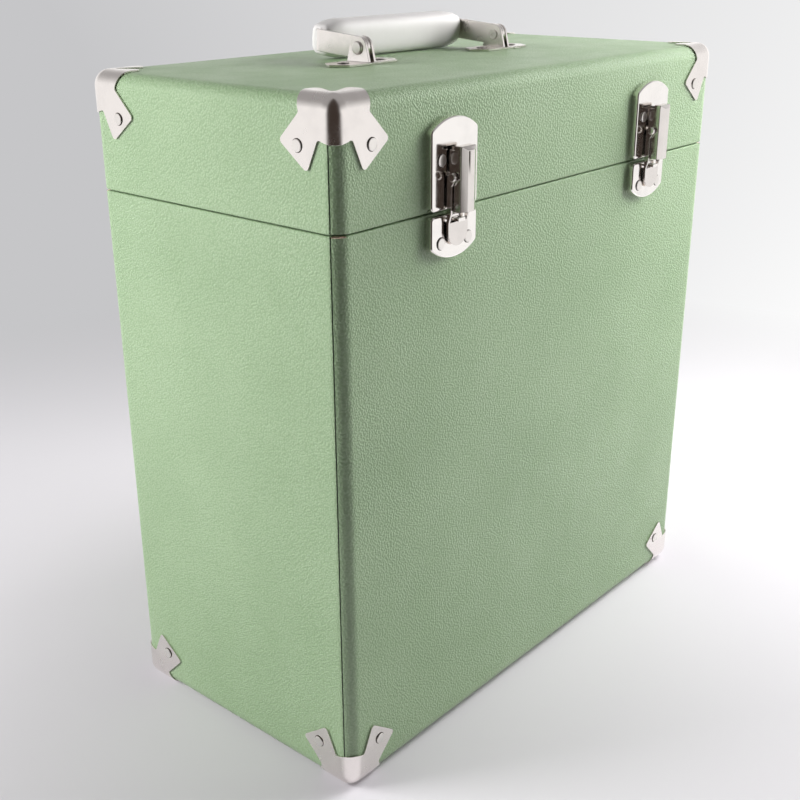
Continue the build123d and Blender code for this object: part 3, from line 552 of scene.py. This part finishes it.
# Each row: CAD node, body, slot, finish, width of the soft edge and its segments.
sides, ends = ("left", "right"), ("front", "back")
corners = (("bottom_corner_{}_{}", "case_body", "corner_metal", satin_nickel, 0.3 * MM),
           ("top_corner_{}_{}", "lid", "corner_metal", satin_nickel, 0.3 * MM))
fittings = (("latch_plate_{}", "lid", "latch_metal", polished_nickel, 0.25 * MM, 3),
            ("latch_keeper_{}", "case_body", "latch_metal", polished_nickel, 0.25 * MM, 3),
            ("latch_lever_{}", "lever_{}", "latch_metal", darker_nickel, 0.25 * MM, 3),
            ("latch_hook_{}", "hook_{}", "latch_metal", darker_nickel, 0.3 * MM, 3),
            ("latch_lever_pin_{}", "lid", "latch_metal", polished_nickel, 0.15 * MM),
            ("latch_hook_pin_{}", "lever_{}", "latch_metal", polished_nickel, 0.15 * MM),
            ("hinge_lower_leaf_{}", "case_body", "hinge_metal", satin_nickel, 0.2 * MM),
            ("hinge_upper_leaf_{}", "lid", "hinge_metal", satin_nickel, 0.2 * MM),
            ("hinge_pin_{}", "case_body", "hinge_metal", satin_nickel, 0.2 * MM),
            ("handle_bracket_{}", "lid", "bracket_metal", satin_nickel, 0.2 * MM),
            ("handle_pivot_rivet_{}", "lid", "rivet_metal", worn_nickel, 0.2 * MM))
for end in ends:
    for side in sides:
        for node, *looks in corners:
            metal_piece(node.format(end, side), *looks)
for side in sides:
    for node, body, *looks in fittings:
        metal_piece(node.format(side), body.format(side), *looks)
metal_piece("handle_strap", "handle", "strap_metal", satin_nickel, 0.3 * MM)

# %% [markdown]
# ## Rivets
# Every fitting is held by rivets with a low domed head. A thin dark line of painted shade runs
# round each rivet, under the head's rim. One Geometry Nodes tree makes them all: it shapes one
# head from a ball, adds the shank and a thin dark disc of painted shade, and puts a copy on
# each point of a small mesh, turned to the direction kept on that point. The points are read
# from the CAD rivets, so that each head sits on its own hole, and a small random tilt gives
# each rivet a glint of its own.

# %% Where the rivets sit
plain_head_radius = 3.25 * MM
rivet_groups = (("body_corner_rivets", "case_body"), ("latch_keeper_rivets", "case_body"),
                ("hinge_body_rivets", "case_body"), ("lid_corner_rivets", "lid"),
                ("latch_plate_rivets", "lid"), ("hinge_lid_rivets", "lid"),
                ("handle_bracket_rivets", "lid"))


def loose_parts(mesh):
    """The vertex places of each separate solid of a mesh, in a steady order."""
    work = bmesh.new()
    work.from_mesh(mesh)
    bmesh.ops.remove_doubles(work, verts=work.verts, dist=2e-6)
    work.verts.ensure_lookup_table()
    seen, parts = set(), []
    for start in work.verts:
        if start.index in seen:
            continue
        seen.add(start.index)
        part, waiting = [], [start]
        while waiting:
            vertex = waiting.pop()
            part.append(vertex.co.copy())
            for edge in vertex.link_edges:
                other = edge.other_vert(vertex)
                if other.index not in seen:
                    seen.add(other.index)
                    waiting.append(other)
        parts.append(part)
    work.free()
    return parts


def rivet_seat(part):
    """(the place where a rivet's head rests, its direction out, its shank's length)."""
    low = Vector([min(point[k] for point in part) for k in range(3)])
    high = Vector([max(point[k] for point in part) for k in range(3)])
    along = max(range(3), key=lambda k: high[k] - low[k])
    middle = (low + high) / 2
    heights = []
    for point in part:
        across = point - middle
        across[along] = 0
        if across.length > 0.96 * plain_head_radius:
            heights.append(point[along])
    out = Vector((0, 0, 0))
    out[along] = 1.0 if sum(heights) / len(heights) > middle[along] else -1.0
    seat = min(heights) if out[along] > 0 else max(heights)
    far = low[along] if out[along] > 0 else high[along]
    place = middle.copy()
    place[along] = seat
    return place, out, abs(seat - far)


# %% A tree that puts a rivet on each point
# The thickness of the thin disc of painted shade that lies round each rivet head.
shade_ring_thickness = 0.08 * MM


def rivet_tree():
    """Inputs: points that hold an "out" direction, and a rivet's sizes. Output: the rivets."""
    tree = bpy.data.node_groups.new("rivets_on_points", "GeometryNodeTree")
    face = tree.interface
    face.new_socket("Points", in_out="INPUT", socket_type="NodeSocketGeometry")
    for name in ("Head Radius", "Head Height", "Rim Height", "Squareness", "Shank Radius",
                 "Shank Length", "Ring Width", "Tilt"):
        face.new_socket(name, in_out="INPUT", socket_type="NodeSocketFloat")
    face.new_socket("Seed", in_out="INPUT", socket_type="NodeSocketInt")
    face.new_socket("Finish", in_out="INPUT", socket_type="NodeSocketMaterial")
    face.new_socket("Rivets", in_out="OUTPUT", socket_type="NodeSocketGeometry")
    given, made = tree.nodes.new("NodeGroupInput"), tree.nodes.new("NodeGroupOutput")

    def join(source, node, socket):
        tree.links.new(source, node.inputs[socket])
        return node

    def number(operation, first, second):
        return maths(tree, operation, first, second)

    ball = add_node(tree, "GeometryNodeMeshUVSphere", Segments=44, Rings=26, Radius=1.0)
    place = join(tree.nodes.new("GeometryNodeInputPosition").outputs[0],
                 tree.nodes.new("ShaderNodeSeparateXYZ"), 0)
    height = place.outputs["Z"]
    level_share = number("SUBTRACT", 1.0, number("MULTIPLY", height, height))
    ring = number("SQRT", number("MAXIMUM", level_share, 1e-8), 0.0)
    power = number("DIVIDE", 2.0, given.outputs["Squareness"])
    widen = number("MULTIPLY", given.outputs["Head Radius"],
                   number("POWER", ring, number("SUBTRACT", power, 1.0)))
    dome = number("POWER", number("MAXIMUM", height, 0.0), power)
    under = number("POWER", number("MAXIMUM", number("MULTIPLY", height, -1.0), 0.0), power)
    rim = given.outputs["Rim Height"]
    rise = number("MULTIPLY", dome, number("SUBTRACT", given.outputs["Head Height"], rim))
    drop = number("MULTIPLY", under, rim)
    shaped = tree.nodes.new("ShaderNodeCombineXYZ")
    join(number("MULTIPLY", place.outputs["X"], widen), shaped, "X")
    join(number("MULTIPLY", place.outputs["Y"], widen), shaped, "Y")
    join(number("SUBTRACT", number("ADD", rim, rise), drop), shaped, "Z")
    head = join(ball.outputs["Mesh"], tree.nodes.new("GeometryNodeSetPosition"), "Geometry")
    join(shaped.outputs[0], head, "Position")

    shank = add_node(tree, "GeometryNodeMeshCylinder", Vertices=20)
    join(given.outputs["Shank Radius"], shank, "Radius")
    join(given.outputs["Shank Length"], shank, "Depth")
    down = tree.nodes.new("ShaderNodeCombineXYZ")
    join(number("MULTIPLY", given.outputs["Shank Length"], -0.5), down, "Z")
    lowered = join(shank.outputs["Mesh"], tree.nodes.new("GeometryNodeTransform"), "Geometry")
    join(down.outputs[0], lowered, "Translation")
    # A thin dark disc just wider than the head: painted shade under the rim.
    disc = add_node(tree, "GeometryNodeMeshCylinder", Vertices=44, Depth=shade_ring_thickness)
    join(number("ADD", given.outputs["Head Radius"], given.outputs["Ring Width"]), disc, "Radius")
    shade_disc = join(disc.outputs["Mesh"], add_node(tree, "GeometryNodeStoreNamedAttribute",
                                                Name="rim_shade", Value=1.0), "Geometry")
    whole = tree.nodes.new("GeometryNodeJoinGeometry")
    for part in (head, lowered, shade_disc):
        join(part.outputs[0], whole, 0)

    out = add_node(tree, "GeometryNodeInputNamedAttribute", data_type="FLOAT_VECTOR", Name="out")
    chance = add_node(tree, "FunctionNodeRandomValue", data_type="FLOAT_VECTOR")
    chance.inputs[0].default_value = (-1, -1, -1)
    join(given.outputs["Seed"], chance, "Seed")
    lean = join(chance.outputs[0], add_node(tree, "ShaderNodeVectorMath", operation="SCALE"), 0)
    join(given.outputs["Tilt"], lean, "Scale")
    aimed = join(out.outputs[0], tree.nodes.new("ShaderNodeVectorMath"), 0)
    join(lean.outputs[0], aimed, 1)
    turned = add_node(tree, "FunctionNodeAlignRotationToVector", axis="Z")
    join(aimed.outputs[0], turned, "Vector")
    copies = join(given.outputs["Points"], tree.nodes.new("GeometryNodeInstanceOnPoints"), "Points")
    join(whole.outputs[0], copies, "Instance")
    join(turned.outputs[0], copies, "Rotation")
    real = join(copies.outputs[0], tree.nodes.new("GeometryNodeRealizeInstances"), 0)
    finish = join(real.outputs[0], tree.nodes.new("GeometryNodeSetMaterial"), "Geometry")
    join(given.outputs["Finish"], finish, "Material")
    join(finish.outputs[0], made, 0)
    return tree


def set_input(modifier, tree, name, value):
    """Set one of a Geometry Nodes modifier's inputs by its socket's identifier."""
    for item in tree.interface.items_tree:
        if item.in_out == "INPUT" and item.name == name:
            modifier[item.identifier] = value


# %% Rivets on every group
# Ring Width is how far the disc of painted shade reaches past the head.
rivet_sizes = (("Head Radius", 2.9 * MM), ("Head Height", 0.8 * MM), ("Rim Height", 0.32 * MM),
               ("Squareness", 3.2), ("Shank Radius", 1.6 * MM), ("Ring Width", 0.3 * MM),
               ("Tilt", 0.02), ("Seed", 5), ("Finish", worn_nickel))
rivet_maker = rivet_tree()
for node, body in rivet_groups:
    seats = [rivet_seat(part) for part in loose_parts(nodes[node].data)]
    mesh = bpy.data.meshes.new(f"{node}_heads")
    mesh.from_pydata([place for place, out, shank in seats], [], [])
    kept = mesh.attributes.new("out", "FLOAT_VECTOR", "POINT")
    for index, (place, out, shank) in enumerate(seats):
        kept.data[index].vector = out
    piece = linked_object(f"{node}_heads", mesh)
    modifier = piece.modifiers.new("rivets", "NODES")
    modifier.node_group = rivet_maker
    for name, value in (*rivet_sizes, ("Shank Length", seats[0][2])):
        set_input(modifier, rivet_maker, name, value)
    applied(piece).data.shade_smooth()
    piece.data.set_sharp_from_angle(angle=radians(50))
    finish_piece(piece, body, "rivet_metal", worn_nickel, node)
    print(node, "rivets:", len(seats), "faces:", len(piece.data.polygons))

# %% [markdown]
# ## Grip
# The grip is a smooth moulded body that the flat strap runs through from end to end. It swells
# from slim ends to a full middle, so rings of one squared-off oval are the simplest way to make
# it: each ring has its own width and height, and the last rings at each end round over and then
# turn back inside as a flat slot. The closed string of rings gives the slot without a cut.

# %% Grip from rings
grip_middle = Vector((0, 32.10, 371.55)) * MM
grip_tilt = radians(4.453)
grip_half_length, grip_taper = 58.5 * MM, 15 * MM
grip_full, grip_slim = Vector((17.0, 20.4)) * MM, Vector((12.0, 14.5)) * MM
grip_end_round, grip_squareness = 2.2 * MM, 3.4
strap_slot = Vector((2.3, 11.8)) * MM
slot_rows = ((0.0, 1.2, 6), (0.08, 0.4, 10), (0.4, 0.0, 14))  # depth and extra size in mm, squareness
length_steps, round_steps = 14, 7


def grip_ring(reach, size, squareness, count=72):
    """Points of one squared-off oval across the grip, at a distance along it."""
    along_arm = Vector((0, cos(grip_tilt), sin(grip_tilt)))
    upward = Vector((0, -sin(grip_tilt), cos(grip_tilt)))
    points = []
    for k in range(count):
        turn = 2 * pi * (k + 0.5) / count
        c, s = cos(turn), sin(turn)
        across = size[0] / 2 * abs(c) ** (2 / squareness) * (1 if c > 0 else -1)
        rise = size[1] / 2 * abs(s) ** (2 / squareness) * (1 if s > 0 else -1)
        points.append(grip_middle + Vector((reach, 0, 0)) + along_arm * across + upward * rise)
    return points


def grip_half():
    """(distance from the middle, size, squareness) of each ring, from the middle to the slot."""
    half = []
    straight_end = grip_half_length - grip_end_round
    for step in range(length_steps + 1):
        reach = straight_end - (1 - step / length_steps) * straight_end
        taper = max(0.0, (reach - (grip_half_length - grip_taper)) / grip_taper) ** 2
        half.append((reach, grip_full.lerp(grip_slim, taper), grip_squareness))
    for turn in quarter_turn(round_steps)[1:]:
        inset = 2 * grip_end_round * (1 - cos(turn))
        short_by = grip_end_round * (1 - sin(turn))
        taper = max(0.0, 1 - short_by / grip_taper) ** 2
        size = grip_full.lerp(grip_slim, taper) - Vector((inset, inset))
        half.append((grip_half_length - short_by, size, grip_squareness))
    for depth, wider, squareness in slot_rows:
        half.append((grip_half_length - depth * MM, strap_slot + Vector((wider, wider)) * MM,
                     squareness))
    return half


def grip_body(name):
    """The grip as a closed string of rings: over the outside and back through the slot."""
    half = grip_half()
    whole = [(-reach, size, squareness) for reach, size, squareness in reversed(half)] + half[1:]
    rings = [grip_ring(*row) for row in whole]
    vertices = [point for ring in rings for point in ring]
    return mesh_piece(name, vertices, ring_faces(len(rings), len(rings[0]), closed=True), 50)


# %% The grip's plastic
grip_pale, grip_marked = linear(213, 210, 209), linear(206, 203, 201)
handling_waves, tooth_waves, tooth_depth = 45, 2600, 0.006 * MM


def plastic_material():
    """A pale moulded plastic with a fine matt tooth and a few faint handling marks."""
    material, tree, shader = new_material("pale_grip_plastic")
    where = object_coordinates(tree)
    marks = spread(tree, noise_field(tree, where, handling_waves, 4), 0.5, 0.75, 0.0, 1.0)
    tree.links.new(mix_colours(tree, marks, grip_pale, grip_marked), shader.inputs["Base Color"])
    tree.links.new(spread(tree, marks, 0, 1, 0.42, 0.5), shader.inputs["Roughness"])
    tooth = noise_field(tree, where, tooth_waves, 2)
    tree.links.new(bump(tree, tooth, tooth_depth), shader.inputs["Normal"])
    return material


grip_plastic = plastic_material()
grip = finish_piece(grip_body("moulded_grip"), "handle", "grip_plastic", grip_plastic, "handle_grip")
print("made", grip.name, len(grip.data.polygons), "faces")

# %% [markdown]
# ## Boards and linings
# The boards are plywood, almost hidden between the covering and the linings. The body is lined
# with grey board and the lid with grey paper. Their CAD shapes are already right, so they are
# carried over and get only a finish: one soft random field for both the colour and a faint
# unevenness. For plywood the field is squeezed in height and drawn out sideways, as its grain.

# %% Finishes of the boards and linings
board_roughness, fibre_depth = 0.8, 0.05 * MM
plywood_stretch = (0.3, 0.3, 2.5)


def board_material(name, colour, deep, scale, stretch=(1, 1, 1)):
    """A dull board or paper in two near colours, with bumps of that many to the metre."""
    material, tree, shader = new_material(name)
    mapping = add_node(tree, "ShaderNodeMapping")
    mapping.inputs["Scale"].default_value = stretch
    tree.links.new(object_coordinates(tree), mapping.inputs["Vector"])
    field = noise_field(tree, mapping.outputs["Vector"], scale, 5, 0.6)
    tree.links.new(mix_colours(tree, spread(tree, field, 0.35, 0.65, 0, 1), colour, deep),
                   shader.inputs["Base Color"])
    shader.inputs["Roughness"].default_value = board_roughness
    tree.links.new(bump(tree, field, fibre_depth), shader.inputs["Normal"])
    return material


plywood = board_material("bare_plywood", linear(196, 166, 128), linear(176, 143, 106), 120,
                         stretch=plywood_stretch)
liner_board = board_material("grey_liner_board", linear(88, 90, 88), linear(76, 78, 76), 500)
lining_paper = board_material("lining_paper", linear(92, 94, 91), linear(82, 84, 81), 700)


def board_finish(name):
    """(finish, slot) of a CAD node that is carried over."""
    if name.startswith("liner_"):
        return liner_board, "liner_board"
    if name == "lid_lining":
        return lining_paper, "case_board"
    return plywood, "case_board"


carried = [name for name, node in nodes.items() if not node.hide_render]
for name in carried:
    material, slot = board_finish(name)
    nodes[name].data.materials.clear()
    nodes[name].data.materials.append(material)
print("carried over:", len(carried), "boards and linings")

# %% [markdown]
# ## Studio
# The case stands on a pale table in a white tent that is open towards the camera. Polished
# metal shows whatever is round it, so the tent matters as much as the lamps: white walls, a grey
# ceiling and a dark opening give the fittings their contrast. The table and the room both glow
# with that picture of the tent, but only for rays that show a background or a reflection. The
# lamps light the case, with a very little from the room, and the table keeps its shadow.

# %% Colours and directions of the tent
case_middle = Vector((0, 0, 0.2))
open_side = Vector((-0.755, -0.656, 0))
across_view = Vector((0.65428, -0.756238, 0))
backdrop_left, backdrop_right = linear(198, 198, 200), linear(252, 252, 252)
tent_white, ceiling_grey, open_dark = (1.0, 0.99, 0.985), (0.36, 0.35, 0.35), (0.05, 0.038, 0.032)
table_white, table_roughness, table_width = linear(206, 203, 207), 0.55, 30.0
table_fade_start, table_fade_end = 0.3, 0.8


# %% What a background ray sees
def vector_math(tree, operation, first, second):
    """One vector operation between a socket and a socket or a fixed vector."""
    node = add_node(tree, "ShaderNodeVectorMath", operation=operation)
    tree.links.new(first, node.inputs[0])
    if hasattr(second, "is_linked"):
        tree.links.new(second, node.inputs[1])
    else:
        node.inputs[1].default_value = second
    return node


def background_rays(tree):
    """(1 for rays that show a background, 1 for the glossy ones alone)."""
    path = add_node(tree, "ShaderNodeLightPath")
    seen = maths(tree, "ADD", path.outputs["Is Camera Ray"], path.outputs["Is Glossy Ray"])
    seen = maths(tree, "ADD", seen, path.outputs["Is Transmission Ray"], clamp=True)
    return seen, path.outputs["Is Glossy Ray"]


def turned_towards(tree, place, direction):
    """How far a place round the case lies in one level direction, from -1 to 1."""
    level = vector_math(tree, "MULTIPLY", place, (1, 1, 0))
    heading = add_node(tree, "ShaderNodeVectorMath", operation="NORMALIZE")
    tree.links.new(level.outputs["Vector"], heading.inputs[0])
    return vector_math(tree, "DOT_PRODUCT", heading.outputs["Vector"], direction).outputs["Value"]


def background_light(tree, kind, place, height):
    """The backdrop as seen, paler to the right, and as reflected: white walls, a grey ceiling
    and one dark side where the tent is open."""
    seen, glossy = background_rays(tree)
    ceiling = spread(tree, height, 0.2, 0.62, 0.0, 1.0)
    tent = mix_colours(tree, ceiling, tent_white, ceiling_grey)
    open_share = spread(tree, turned_towards(tree, place, open_side), 0.66, 0.84, 0.0, 1.0)
    tent = mix_colours(tree, open_share, tent, open_dark)
    right_share = spread(tree, turned_towards(tree, place, across_view), -0.3, 0.6, 0.0, 1.0)
    backdrop = mix_colours(tree, right_share, backdrop_left, backdrop_right)
    glow = add_node(tree, kind, Strength=1.0)
    tree.links.new(mix_colours(tree, glossy, backdrop, tent), glow.inputs["Color"])
    return seen, glow


def blend_shaders(tree, share, near, far, output):
    """Mix two shaders by a share from 0 to 1 into one of the tree's outputs."""
    blend = add_node(tree, "ShaderNodeMixShader")
    for source, socket in ((share, 0), (near, 1), (far, 2)):
        tree.links.new(source, blend.inputs[socket])
    tree.links.new(blend.outputs["Shader"], tree.nodes[output].inputs["Surface"])


def height_of(tree, place):
    """The upward part of a place or a direction."""
    parts = add_node(tree, "ShaderNodeSeparateXYZ")
    tree.links.new(place, parts.inputs[0])
    return parts.outputs["Z"]


# %% The table, which fades into the backdrop
def table_material():
    """A pale table near the case, and further off the backdrop's own glow."""
    material, tree, shader = new_material("studio_table")
    shader.inputs["Base Color"].default_value = (*table_white, 1)
    shader.inputs["Roughness"].default_value = table_roughness
    place = object_coordinates(tree)
    distance = vector_math(tree, "LENGTH", place, (0, 0, 0)).outputs["Value"]
    seen, glow = background_light(tree, "ShaderNodeEmission", place, height_of(tree, place))
    fade = spread(tree, distance, table_fade_start, table_fade_end, 0.0, 1.0)
    blend_shaders(tree, maths(tree, "MULTIPLY", fade, seen), shader.outputs["BSDF"],
                  glow.outputs["Emission"], "Material Output")
    return material


reach = table_width / 2
floor = mesh_piece("studio_floor", [(x * reach, y * reach, cad_low.z) for x, y in
                                    ((-1, -1), (1, -1), (1, 1), (-1, 1))], [(0, 1, 2, 3)])
floor.data.materials.append(table_material())
print("table at height", round(cad_low.z, 4))

# %% [markdown]
# ## Lamps
# A soft box on either side lights the two faces, and a wide scrim behind each one evens them
# out. Metal would mirror such bright lamps as white patches, so it doesn't see them. It
# sees three large faint panels instead, which put soft bright bands on the fittings. The side
# towards the camera has no lamp, so the upright edge stays dark and the two faces read apart.

# %% Soft boxes, scrims and panels
# Each row: name, place, width and height, watts, whether metal mirrors it.
lamps = (("left_soft_box", (-0.75, 0.6, 0.52), (0.5, 0.5), 11.2, False),
         ("right_soft_box", (0.5, -0.25, 0.5), (0.4, 0.4), 5.8, False),
         ("left_scrim", (-1.15, 1.05, 0.75), (1.4, 1.2), 12, False),
         ("right_scrim", (1.4, -0.7, 0.75), (1.4, 1.2), 26, False),
         ("left_panel", (-1.15, 1.05, 0.75), (1.4, 1.2), 0.8, True),
         ("right_panel", (1.4, -0.7, 0.75), (1.4, 1.2), 1, True),
         ("back_panel", (1.4, 0.2, 0.7), (1.4, 1.2), 1.1, True))


def soft_box(name, place, size, watts, mirrored):
    """A rectangular area light that faces the case and is never seen itself."""
    lamp = bpy.data.lights.new(name, "AREA")
    lamp.shape = "RECTANGLE"
    lamp.size, lamp.size_y = size
    lamp.energy = watts
    holder = linked_object(name, lamp)
    holder.location = place
    holder.rotation_mode = "QUATERNION"
    holder.rotation_quaternion = (case_middle - Vector(place)).to_track_quat("-Z", "Y")
    holder.visible_camera = False
    holder.visible_glossy = mirrored


for row in lamps:
    soft_box(*row)
print("lamps:", len(lamps), "watts in all:", round(sum(row[3] for row in lamps), 1))

# %% The room round the table
room_colour, room_strength = (0.9, 0.9, 0.92, 1), 0.03
world = bpy.data.worlds.new("pale_tent")
world.use_nodes = True
tree = world.node_tree
room = tree.nodes["Background"]
room.inputs["Color"].default_value = room_colour
room.inputs["Strength"].default_value = room_strength
heading = add_node(tree, "ShaderNodeTexCoord").outputs["Generated"]
seen, glow = background_light(tree, "ShaderNodeBackground", heading, height_of(tree, heading))
blend_shaders(tree, seen, room.outputs["Background"], glow.outputs["Background"], "World Output")
bpy.context.scene.world = world
print("room strength", room_strength)

# %% [markdown]
# ## Camera
# The camera stands close and a little above the case, so the upright edges lean together
# downwards. Its three axes are written out as rows and turned into a rotation, which keeps the
# view exact.

# %% The camera
camera_place = (-0.525088, -0.429626, 0.420539)
camera_right = Vector((0.65428, -0.756238, -0.004632))
camera_up = Vector((0.285568, 0.241387, 0.927461))
camera_back = -Vector((0.700263, 0.608142, -0.373892))
camera_data = bpy.data.cameras.new("camera")
camera_data.lens, camera_data.sensor_width = 51.926, 36.0
camera_data.shift_x, camera_data.shift_y = 0.000625, 0.0086
camera_data.clip_start, camera_data.clip_end = 0.05, 100
camera = linked_object("camera", camera_data)
camera.matrix_world = Matrix.Translation(camera_place) @ Matrix(
    (camera_right, camera_up, camera_back)).transposed().to_4x4()
bpy.context.scene.camera = camera
bpy.context.scene.view_settings.view_transform = "Standard"
print("camera's distance from the case's middle, m:", round((camera.location - case_middle).length, 2))
